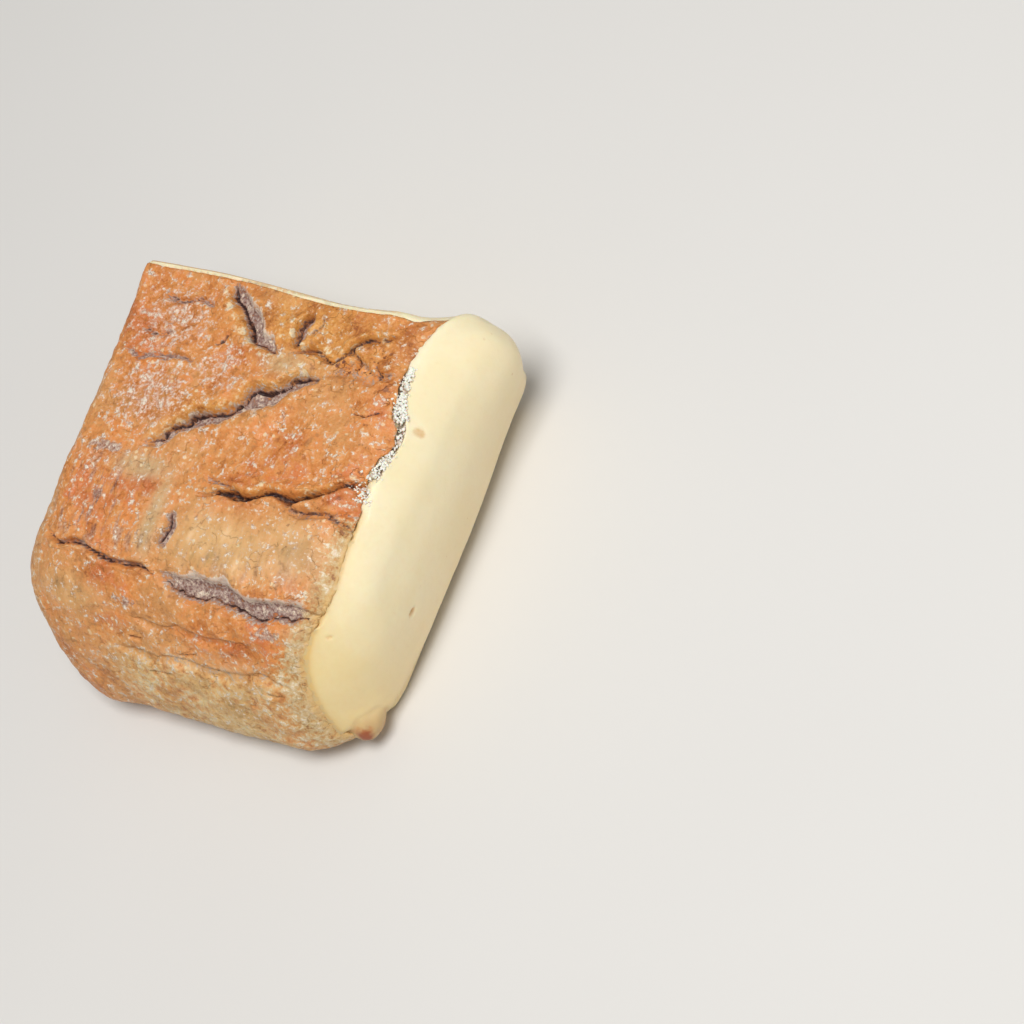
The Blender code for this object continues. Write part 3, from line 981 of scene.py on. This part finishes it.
@dataclass(frozen=True)
class RindFinish:
    """The washed rind: grainy orange plates, pale dust, mauve mould, dark splits and fine cracks.

    Each ramp runs from a zone's dark hollows, darkened partly as painted shade between the grains, to its light grains.
    """

    plate: Stops = stops(
        (0.35, 156, 82, 34), (0.43, 200, 122, 56), (0.51, 218, 146, 80), (0.58, 228, 172, 112), (0.66, 244, 218, 172)
    )
    dusty: Stops = stops(
        (0.36, 138, 82, 54), (0.44, 188, 124, 88), (0.51, 203, 152, 124), (0.58, 221, 187, 166), (0.66, 242, 223, 210)
    )
    peachy: Stops = stops((0.34, 168, 140, 92), (0.44, 208, 162, 104), (0.55, 220, 176, 120), (0.66, 234, 198, 150))
    earthy: Stops = stops((0.36, 128, 74, 30), (0.45, 188, 122, 50), (0.54, 212, 148, 68), (0.66, 234, 190, 116))
    washed: Stops = stops(
        (0.35, 146, 128, 84), (0.43, 196, 154, 94), (0.51, 218, 178, 118), (0.58, 228, 200, 146), (0.67, 242, 226, 188)
    )
    amber: Stops = stops((0.35, 168, 98, 34), (0.50, 216, 150, 68), (0.65, 238, 196, 116))
    mouldy: Stops = stops(
        (0.36, 74, 38, 34), (0.43, 122, 90, 84), (0.50, 160, 134, 122), (0.58, 190, 168, 154), (0.66, 232, 216, 202)
    )
    grainy: Stops = stops(
        (0.36, 146, 98, 58), (0.42, 196, 150, 92), (0.49, 204, 174, 124), (0.56, 216, 192, 150), (0.66, 246, 234, 214)
    )
    honey: Colour = paint(216, 174, 108)
    sandy: Colour = paint(204, 156, 98)
    orange: Colour = paint(216, 122, 50)
    red: Colour = paint(190, 84, 50)
    cream: Colour = paint(240, 222, 180)
    snow: Colour = paint(248, 232, 216)
    beige: Colour = paint(200, 172, 128)
    pearl: Colour = paint(222, 206, 190)
    maroon: Colour = paint(44, 16, 12)
    umber: Colour = paint(112, 58, 32)

    def colour(self, weave: Weave) -> Field:
        """Lays the colours of the rind's zones over each other."""
        graph, at, soft, grain, mid = weave
        cloud, broad = graph.noise(soft, 7.0 * MM), graph.noise(soft, 18.0 * MM)
        drag = graph.noise(graph.stretched(soft, (1.0, 0.3, 0.6)), 3.0 * MM)
        mixed = grain * 0.2 + mid * 0.35 + cloud * 0.45
        peach, dust = graph.look("peach"), graph.look("dust")
        spread = (dust * 0.85 - peach * 0.4) * (0.45 + cloud) + (mid - 0.5) * 2.2 + (grain - 0.5) * 1.6
        specks = graph.cells(graph.shaken(at, 0.35 * MM, 0.8 * MM), 1.15 * MM).step(0.42, 0.2)
        snow = (dust * 0.9 + 0.12 - peach * 0.1) * mid.step(0.42, 0.6)
        blobs = graph.cells(graph.shaken(at, 0.7 * MM, 2.0 * MM), 4.2 * MM).step(0.36, 0.22)
        pips = graph.cells(graph.shaken(at, 0.3 * MM, 1.0 * MM), 2.6 * MM).step(0.24, 0.12)
        return graph.layered(
            graph.ramp(mixed, self.plate),
            (self.orange, cloud.step(0.5, 0.62) * 0.65),
            (self.sandy, (1.0 - broad * 0.6 - mid * 0.4).step(0.51, 0.6) * 0.45),
            (self.red, (mid * 0.4 + broad * 0.6).step(0.52, 0.6) * 0.42),
            (graph.ramp(grain * 0.4 + cloud * 0.6, self.earthy), graph.look("ochre") * (mid + 0.35) & 0.9),
            (graph.ramp(drag * 0.6 + cloud * 0.4, self.peachy), peach * (1.25 - mid * 0.6) & 0.95),
            (graph.ramp(mixed, self.washed), graph.look("pale") * (broad * 0.5 + mid * 0.5).step(0.36, 0.54)),
            (self.beige, graph.look("beige") * (mid + grain * 0.6 + 0.1) & 0.9),
            (graph.ramp(grain * 0.65 + mid * 0.35, self.dusty), spread.step(0.4, 0.9) * (dust * 1.1 + 0.3 & 0.88)),
            (self.snow, specks * snow * 0.8 & 1.0),
            (graph.ramp(grain * 0.3 + mid * 0.7, self.amber), graph.frayed("halo", mid, 1.8).step(0.2, 1.1) * 0.6),
            (self.cream, blobs * graph.look("halo").step(0.15, 0.5) * mid.step(0.4, 0.56) * 0.85),
            (self.cream, pips * cloud.step(0.45, 0.6) * 0.65),
        )

    def stains(self, base: Field, weave: Weave) -> Field:
        """Lays the streaks, the mould, the splits and the fine cracks over a colour."""
        graph, at, soft, grain, mid = weave
        grey = graph.ramp(grain * 0.6 + mid * 0.4, self.mouldy)
        streak = graph.noise(graph.stretched(soft, (1.0, 0.2, 0.6)), 2.0 * MM, 3.0, 0.6)
        broken = graph.look("broken")
        fine = broken * 0.75 + (0.1 - graph.look("peach") * 0.15 | 0.0)
        rough = (grain - 0.5) * 1.1 + (mid - 0.5) * 1.3
        end = graph.ramp(mid * 0.65 + grain * 0.35, self.grainy)
        dark = graph.look("dark") + rough * 0.8
        return graph.layered(
            base,
            (grey, graph.look("streaks") * streak.step(0.5, 0.62) * 0.8),
            (grey, graph.frayed("smear", mid, 4.0).step(0.35, 0.9) * 0.8),
            (self.pearl, graph.look("smear") * grain.step(0.52, 0.66) * 0.6),
            # umber in the lowest hollows of the bump: painted shade there, and dark cracks in the broken zone
            (self.umber, (1.0 - mid).step(0.6, 0.68) * (broken * 0.9 + 0.25)),
            (self.umber, self.hairlines(graph, at) * fine),
            (grey, (graph.look("mould") + rough * 1.9).step(0.15, 0.75)),
            (self.pearl, (graph.look("bloom") + rough * 1.4).step(0.45, 1.05) * 0.8),
            (end, (graph.look("end") + rough * 1.4).step(0.1, 0.6) * 0.92),
            (self.honey, graph.frayed("end", mid, 0.4).step(0.86, 1.0) * 0.75),
            # painted shade in the crease troughs, over the splits' dark seams
            (self.umber, dark.step(0.2, 0.6) * 0.75),
            (self.maroon, dark.step(0.4, 0.85)),
        )

    def hairlines(self, graph: Graph, at: Field) -> Field:
        """Fine cracks: lines where a wandering noise passes its middle, broken up by patches."""
        path = graph.noise(graph.shaken(at, 1.0 * MM, 3.0 * MM), 6.0 * MM, rough=0.5)
        line = 1.0 - graph.add("Math", {"operation": "ABSOLUTE"}, {0: path - 0.5}).step(0.0, 0.012)
        return line * graph.noise(at, 5.0 * MM, 2.0).step(0.47, 0.56)

    def dress(self, piece: bpy.types.Object) -> None:
        """Makes the material and gives it to the rind."""
        graph = Graph.start("washed_rind")
        at = graph.place()
        soft = graph.shaken(at, 0.5 * MM, 2.0 * MM)
        grain = graph.noise(at, 0.75 * MM, 3.0, 0.65)
        mid = graph.noise(soft, 2.1 * MM, 4.0, 0.6)
        weave = Weave(graph, at, soft, grain, mid)
        wet = graph.noise(at, 1.2 * MM, 3.0, 0.65)
        calm = 1.0 - graph.look("peach") * 0.6
        height = (grain * 0.28 + mid * 0.8) * calm - self.hairlines(graph, at) * 0.25
        values = {
            "Base Color": self.stains(self.colour(weave), weave),
            "Roughness": 0.6 - wet.step(0.5, 0.64) * 0.35 + graph.look("mould") * 0.25,
            "Normal": graph.bump(height, 0.6 * MM),
            "Subsurface Weight": 0.12, "Subsurface Radius": (1.0, 0.5, 0.25), "Subsurface Scale": 1.0 * MM,
            "Specular IOR Level": 0.5,
        }
        graph.dress(piece, values, "washed_rind")


@dataclass(frozen=True)
class PasteFinish:
    """The paste: smooth moist ivory, gold where it meets the rind, with ochre in its eyes."""

    ivory: Colour = paint(243, 230, 192)
    butter: Colour = paint(232, 207, 140)
    # painted_warm_shade: a warm, darker tint that stands in for shade and warm bounce light on the paste
    painted_warm_shade: Colour = paint(224, 184, 132)
    gold: Colour = paint(222, 176, 100)
    sand: Colour = paint(214, 188, 138)
    ochre: Colour = paint(206, 150, 72)
    tan: Colour = paint(192, 160, 112)
    brick: Colour = paint(150, 62, 32)
    rim: Colour = paint(200, 134, 78)
    # painted_gap_shadow: painted shadow in the crack where the rind has broken away from the paste
    painted_gap_shadow: Colour = paint(96, 66, 48)
    chalk: Colour = paint(240, 228, 208)

    def dress(self, piece: bpy.types.Object) -> None:
        """Makes the material and gives it to the paste."""
        graph = Graph.start("paste")
        at, look, frayed = graph.place(), graph.look, graph.frayed
        cloud, fine = graph.noise(at, 14.0 * MM), graph.noise(at, 1.6 * MM)
        base = graph.layered(
            self.ivory,
            (self.butter, cloud.step(0.4, 0.7) * 0.18 + look("ripe") * 0.7 & 1.0),
            (self.gold, frayed("fringe", fine, 0.3) * 0.8 & 1.0),
            (self.sand, frayed("fringe", fine, 2.4).step(0.75, 1.1) * 0.7),
            # painted shade: the cut face warmer and darker towards its foot
            (self.painted_warm_shade, look("side") * 0.28),
            (self.ochre, frayed("eye", fine, 0.7).step(0.1, 1.0) * 0.7),
            # painted shadow along the crack, around the chalk crumbs
            (self.painted_gap_shadow, frayed("gap", fine, 0.9).step(0.35, 0.8) * 0.8),
            (self.chalk, frayed("gap", fine, 2.6).step(0.75, 1.2)),
            (self.tan, look("lip") * 0.9),
            (self.rim, look("lip") * graph.noise(at, 3.5 * MM, 2.0).step(0.45, 0.65) * 0.6),
            (self.brick, frayed("spot", fine, 0.8).step(0.15, 0.85) * 0.85),
            (self.rim, look("back") * (1.0 - frayed("in", fine, 0.05).step(0.05, 0.2)) * 0.85),
            # painted warm shade on the second cut, which faces away from the key lamp
            (self.painted_warm_shade, look("back") * 0.25),
            (self.ochre, graph.cells(at, 7.0 * MM).step(0.07, 0.03) * cloud.step(0.5, 0.6) * 0.5),
        )
        height = graph.noise(at, 3.0 * MM, rough=0.5) + graph.noise(at, 0.5 * MM, 2.0) * 0.12
        values = {
            "Base Color": base,
            "Roughness": 0.36 + graph.noise(at, 5.0 * MM) * 0.2,
            "Normal": graph.bump(height, 0.15 * MM, 0.6),
            "Subsurface Weight": 0.3, "Subsurface Radius": (1.0, 0.6, 0.28), "Subsurface Scale": 4.0 * MM,
            "Specular IOR Level": 0.4,
        }
        graph.dress(piece, values, "paste")


@dataclass(frozen=True)
class CrumbFinish:
    """White, dry crumbs."""

    white: Colour = paint(250, 242, 228)
    tan: Colour = paint(168, 126, 92)

    def dress(self, piece: bpy.types.Object) -> None:
        """Makes the material and gives it to the crumbs."""
        graph = Graph.start("crumbs")
        at = graph.place()
        values = {
            "Base Color": graph.coat(self.white, self.tan, graph.noise(at, 1.5 * MM).step(0.52, 0.66) * 0.75),
            "Normal": graph.bump(graph.noise(at, 0.3 * MM), 0.1 * MM, 0.8),
            "Roughness": 0.7, "Subsurface Weight": 0.2, "Subsurface Scale": 1.0 * MM,
        }
        graph.dress(piece, values, "paste")


@dataclass
class Rind:
    """The washed rind: a shell open at both cuts, with creases, dark splits and a broken edge."""

    spacing: float = 1.8 * MM
    thickness: float = 2.2 * MM
    edge_thickness: float = 1.1 * MM
    low_x: float = -46.0 * MM
    low_y: float = -48.0 * MM
    back_rim: float = 1.4 * MM
    core_low: float = 21.0 * MM
    core_high: float = 29.0 * MM
    ragged: float = 0.8 * MM
    ragged_size: float = 3.2 * MM
    finish: RindFinish = RindFinish()

    def grid(self) -> bmesh.types.BMesh:
        """A cube that is open at both cuts, with an inner layer, finest on the upper rind and the front."""
        mesh = gridded_cube(self.spacing)
        mesh.normal_update()
        cuts = [f for f in mesh.faces if f.normal.x > 0.5 or f.normal.y > 0.5]
        bmesh.ops.delete(mesh, geom=cuts, context="FACES")
        bmesh.ops.solidify(mesh, geom=mesh.faces[:], thickness=0.04)
        seat, layer = mesh.verts.layers.float_vector["seat"], mesh.verts.layers.float["layer"]
        for vert in mesh.verts:
            vert[layer] = float((vert.co - vert[seat]).length > 0.01)
        refine(mesh, Level.FINE, lambda at, deep: deep < 0.01)
        refine(mesh, Level.FINE, lambda at, deep: deep < 0.01 and (at.z > ON_WALL or at.y < -ON_WALL))
        return mesh

    def end(self, at: Points) -> Points:
        """The ragged X at which the rind ends, at each point."""
        edge = np.column_stack([np.zeros(len(at)), at[:, 1], at[:, 2]])
        coarse = noise_at(edge, self.ragged_size, 3)
        return BLOCK.rind_end(at) + self.ragged * coarse * (0.6 + 0.8 * RELIEF.gap_share(at[:, 1]))

    def place(self, seats: Points) -> Points:
        """Draws the seats out onto the rounded walls, ending short of both cuts."""
        at = seats * BLOCK.half + BLOCK.middle
        across, back = (seats[:, 0] + 1.0) / 2.0, (seats[:, 1] + 1.0) / 2.0
        level = at[:, 2]
        for _ in range(2):
            at = np.column_stack([at[:, :2], level])
            second = BLOCK.walls(at)[3]
            start = np.column_stack([
                self.low_x + (self.end(at) - self.low_x) * across,
                self.low_y + (at[:, 1] - second - self.back_rim - self.low_y) * back,
                level,
            ])
            core = np.maximum(start, np.array([self.low_x, self.low_y, 0.0]) + self.core_low)
            core[:, 2] = np.minimum(core[:, 2], self.core_high)
            at = cast(core, start)
        return at

    def build(self) -> bpy.types.Object:
        """Builds and dresses the rind.

        Returns:
            Its object.
        """
        mesh = self.grid()
        seats, layer = seats_of(mesh)
        at = self.place(seats)
        normals = outward(at)
        skin = RELIEF.rind(at, normals)
        thickness = blend(self.edge_thickness, self.thickness, rising(BLOCK.rind_end(at) - at[:, 0], 0.0, 3.0))
        outer = pressed(at, normals, skin.rise)
        inner = outer - normals * (thickness + skin.looks.pop("below"))[:, None]
        piece = as_piece("washed_rind", mesh, np.where(layer[:, None] > 0.5, inner, outer), skin.looks)
        self.finish.dress(piece)
        return piece


@dataclass
class Paste:
    """The soft paste: it fills the rind, swells out past its edge, and shows at both cuts."""

    spacing: float = 2.2 * MM
    under: tuple[tuple[float, float], ...] = (
        (-12.0, 5.0), (-5.0, 1.95), (-2.0, 0.95), (-0.5, 0.5), (0.0, 0.35), (1.0, 0.12), (2.5, 0.0)
    )
    behind: tuple[tuple[float, float], ...] = ((-9.0, 5.0), (-4.0, 2.4), (-2.2, 0.9), (-1.3, 0.25), (0.0, 0.2))
    fringe_near: float = 0.6 * MM
    fringe_far: float = 2.2 * MM
    section_y: float = 20.0 * MM
    section_depth: float = 10.0 * MM
    valley: float = 1.3 * MM
    valley_at: float = 0.7 * MM
    valley_reach: float = 0.9 * MM
    finish: PasteFinish = PasteFinish()

    def inset(self, at: Points) -> Points:
        """How far the walls that the rind covers are moved in at each point."""
        past = at[:, 0] - BLOCK.rind_end(at)
        second = BLOCK.walls(at)[3]
        by_end = np.interp(past / MM, *np.array(self.under).T) * MM
        by_back = np.interp(second / MM, *np.array(self.behind).T) * MM
        dip = self.valley * RELIEF.gap_share(at[:, 1]) * rising(at[:, 2], 20.0, 30.0)
        dip = dip * bell(past - self.valley_at, self.valley_reach)
        return np.minimum(by_end, by_back) + dip * falling(second, -3.0, 0.0)

    def build(self) -> bpy.types.Object:
        """Builds and dresses the paste.

        Returns:
            Its object.
        """
        mesh = gridded_cube(self.spacing)
        refine(mesh, Level.FINE, lambda at, deep: at.y > ON_WALL)
        refine(mesh, Level.FINEST, lambda at, deep: at.x > 0.7 or at.y > 0.93)
        refine(mesh, Level.FINE, lambda at, deep: at.y > 0.95 and at.z > ON_WALL)
        refine(mesh, Level.FINE, lambda at, deep: at.y > 0.96 and at.z > ON_WALL)
        seats, _ = seats_of(mesh)
        at = drawn_out(seats, self.inset)
        normals = outward(at, self.inset)
        past = at[:, 0] - BLOCK.rind_end(at)
        cover = falling(past, -1.5, 1.0) * smooth(1.0 - 1.5 * normals[:, 1])
        skin = RELIEF.paste(at, normals, cover)
        _, y, z = at.T
        past_edge = np.maximum(past, 0.0)
        off_back = smooth((0.5 - normals[:, 1]) / 0.3)
        fringe = blend(np.exp(-past_edge / self.fringe_near), np.exp(-past_edge / self.fringe_far), 0.25)
        valley = RELIEF.gap_share(y) * rising(z, 30.0, 38.0) * off_back
        depth_in = -BLOCK.form(np.column_stack([at[:, 0], np.full(len(at), self.section_y), z]))
        skin.looks.update({
            "fringe": fringe * falling(y, -10.0, 2.0) * off_back,
            # gap: the crack along the rind's broken edge, which carries a painted shadow and the chalk crumbs' colour
            "gap": valley * bell(past - 0.9 * MM, 1.0 * MM, 4.0),
            "ripe": falling(y, -52.0, -16.0),
            # back: the second cut's face, which the finish gives the rind's band and a painted warm shade
            "back": smooth((normals[:, 1] - 0.5) / 0.3) * falling(past, -1.0, 1.0),
            "in": np.clip(depth_in / self.section_depth, 0.0, 1.0),
        })
        piece = as_piece("paste", mesh, pressed(at, normals, skin.rise), skin.looks)
        self.finish.dress(piece)
        return piece


@dataclass
class Crumbs:
    """White crumbs of dry mould and paste along the broken edge of the rind, as one mesh."""

    seed: int = 7
    runs: tuple[tuple[float, float, float, float, int], ...] = (
        (20.5, 33.0, 1.5, 0.45, 330), (12.0, 20.5, 1.0, 0.5, 50), (4.5, 12.0, 1.0, 0.5, 170),
        (-2.0, 5.0, -0.9, 1.2, 150), (19.0, 25.5, 0.2, 0.6, 110),
    )
    smallest: float = 0.18 * MM
    largest: float = 0.5 * MM
    core_high: float = 29.0 * MM
    sunk: float = 0.1 * MM
    rough: float = 0.24 * MM
    rough_size: float = 0.42 * MM
    finish: CrumbFinish = CrumbFinish()

    def build(self) -> bpy.types.Object:
        """Scatters and dresses the crumbs.

        Returns:
            Their object.
        """
        draw = np.random.default_rng(self.seed)
        starts, sizes = [], []
        for low, high, middle, spread, count in self.runs:
            place = np.zeros((count, 3))
            place[:, 1] = draw.uniform(low, high, count) * MM
            place[:, 2] = BLOCK.height
            place[:, 0] = BLOCK.rind_end(place) + (middle + draw.normal(0.0, spread, count)) * MM
            starts.append(place)
            sizes.append(self.smallest + (self.largest - self.smallest) * draw.random(count) ** 2.5)
        start, size = np.concatenate(starts), np.concatenate(sizes)
        at = cast(start * (1.0, 1.0, 0.0) + (0.0, 0.0, self.core_high), start)
        normals = outward(at)
        sunk = np.minimum(RELIEF.rind(at, normals).rise, self.sunk) - self.sunk
        at = at + normals * (sunk + size * 0.3)[:, None]
        mesh = bmesh.new()
        for place, radius in zip(at.tolist(), size.tolist()):
            squash = Matrix.Diagonal((*draw.uniform(0.7, 1.25, 3), 1.0))
            matrix = Matrix.Translation(place) @ squash
            bmesh.ops.create_icosphere(mesh, subdivisions=1, radius=radius, matrix=matrix)
        points = np.array([v.co[:] for v in mesh.verts])
        rough = self.rough * np.column_stack([noise_at(points + k * 0.1, self.rough_size) for k in range(3)])
        piece = as_piece("crumbs", mesh, points + rough, {})
        self.finish.dress(piece)
        return piece


@dataclass(frozen=True)
class Lamp:
    """A soft square lamp that faces the piece. toward is its direction, by the picture's right, up and back."""

    name: str
    toward: tuple[float, float, float]
    away: float
    power: float
    size: float
    aim: tuple[float, float, float] = (0.0, 0.0, 0.02)

    def build(self, axes: tuple[Vector, Vector, Vector]) -> None:
        """Hangs it, given the picture's right, up and back."""
        place = sum((axis * share for axis, share in zip(axes, self.toward)), Vector()).normalized() * self.away
        light = bpy.data.lights.new(self.name, "AREA")
        light.energy = self.power
        light.size = self.size
        lamp = placed(self.name, light)
        lamp.location = place
        lamp.rotation_euler = (Vector(self.aim) - place).to_track_quat("-Z", "Y").to_euler()


@dataclass
class Studio:
    """The pale floor, the soft light and the camera, which looks down as the photograph does."""

    azimuth: float = math.radians(70.6)
    elevation: float = math.radians(50.32)
    roll: float = math.radians(-53.011)
    distance: float = 775.97 * MM
    target: tuple[float, float, float] = (0.0, 0.0, 21.0 * MM)
    target_pixel: tuple[float, float] = (280.0, 506.0)
    pixels_per_metre: float = 4042.0
    turn_share: float = 0.9959
    frame_pixels: int = 1024
    sensor: float = 36.0
    floor_size: float = 4.0
    lamps: tuple[Lamp, ...] = (
        Lamp("key", (-0.35, 0.25, 1.0), 1.2, 11.7, 0.5), Lamp("fill", (0.8, -0.1, 0.5), 1.3, 4.0, 0.8)
    )
    sky: float = 0.3

    @property
    def axes(self) -> tuple[Vector, Vector, Vector]:
        """The picture's right and up, and the way back to the camera."""
        turn, lift = self.azimuth, self.elevation
        back = Vector((math.sin(turn) * math.cos(lift), -math.cos(turn) * math.cos(lift), math.sin(lift)))
        level = Vector((math.cos(turn), math.sin(turn), 0.0))
        over = back.cross(level)
        right = level * math.cos(self.roll) + over * math.sin(self.roll)
        return right, back.cross(right), back

    def camera(self) -> None:
        """Places the camera where it sees the piece as the photograph does, by turning and not shifting it."""
        right, up, back = self.axes
        focal = self.pixels_per_metre * self.distance * self.turn_share
        middle = self.frame_pixels / 2.0
        aside, above = (middle - self.target_pixel[0]) / focal, (self.target_pixel[1] - middle) / focal
        ahead = (right * aside + up * above - back).normalized()
        side = ahead.cross(up).normalized()
        lens = bpy.data.cameras.new("camera")
        lens.lens = focal * self.sensor / self.frame_pixels
        lens.sensor_width = self.sensor
        lens.clip_start = 0.01
        camera = placed("camera", lens)
        turned = Matrix((side, side.cross(ahead), -ahead)).transposed().to_4x4()
        camera.matrix_world = Matrix.Translation(Vector(self.target) - MIDDLE + back * self.distance) @ turned
        bpy.context.scene.camera = camera

    def floor(self) -> None:
        """Lays the pale floor."""
        mesh = bmesh.new()
        bmesh.ops.create_grid(mesh, x_segments=2, y_segments=2, size=self.floor_size / 2.0)
        data = bpy.data.meshes.new("floor")
        mesh.to_mesh(data)
        mesh.free()
        floor = placed("floor", data)
        graph = Graph.start("pale_floor")
        tone = graph.coat(paint(226, 224, 220), paint(216, 213, 208), graph.noise(graph.place(), 0.4))
        graph.dress(floor, {"Base Color": tone, "Roughness": 0.8})

    def build(self) -> None:
        """Sets up the camera, the floor, the lamps and the sky."""
        self.camera()
        self.floor()
        for lamp in self.lamps:
            lamp.build(self.axes)
        world = bpy.data.worlds.new("sky")
        world.use_nodes = True
        sky = world.node_tree.nodes["Background"]
        sky.inputs["Color"].default_value = (1.0, 1.0, 1.0, 1.0)
        sky.inputs["Strength"].default_value = self.sky
        bpy.context.scene.world = world
        bpy.context.scene.view_settings.view_transform = "Standard"


def main() -> None:
    """Builds the scene's pieces in order, and then the studio."""
    logging.basicConfig(level=logging.INFO, format="%(name)s: %(message)s")
    for maker in (Rind(), Paste(), Crumbs()):
        piece = maker.build()
        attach(piece, BODY)
        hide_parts(NODE)
        LOG.info("%s: %d faces", piece.name, len(piece.data.polygons))
    Studio().build()
    LOG.info("studio is set")


if __name__ == "__main__":
    main()
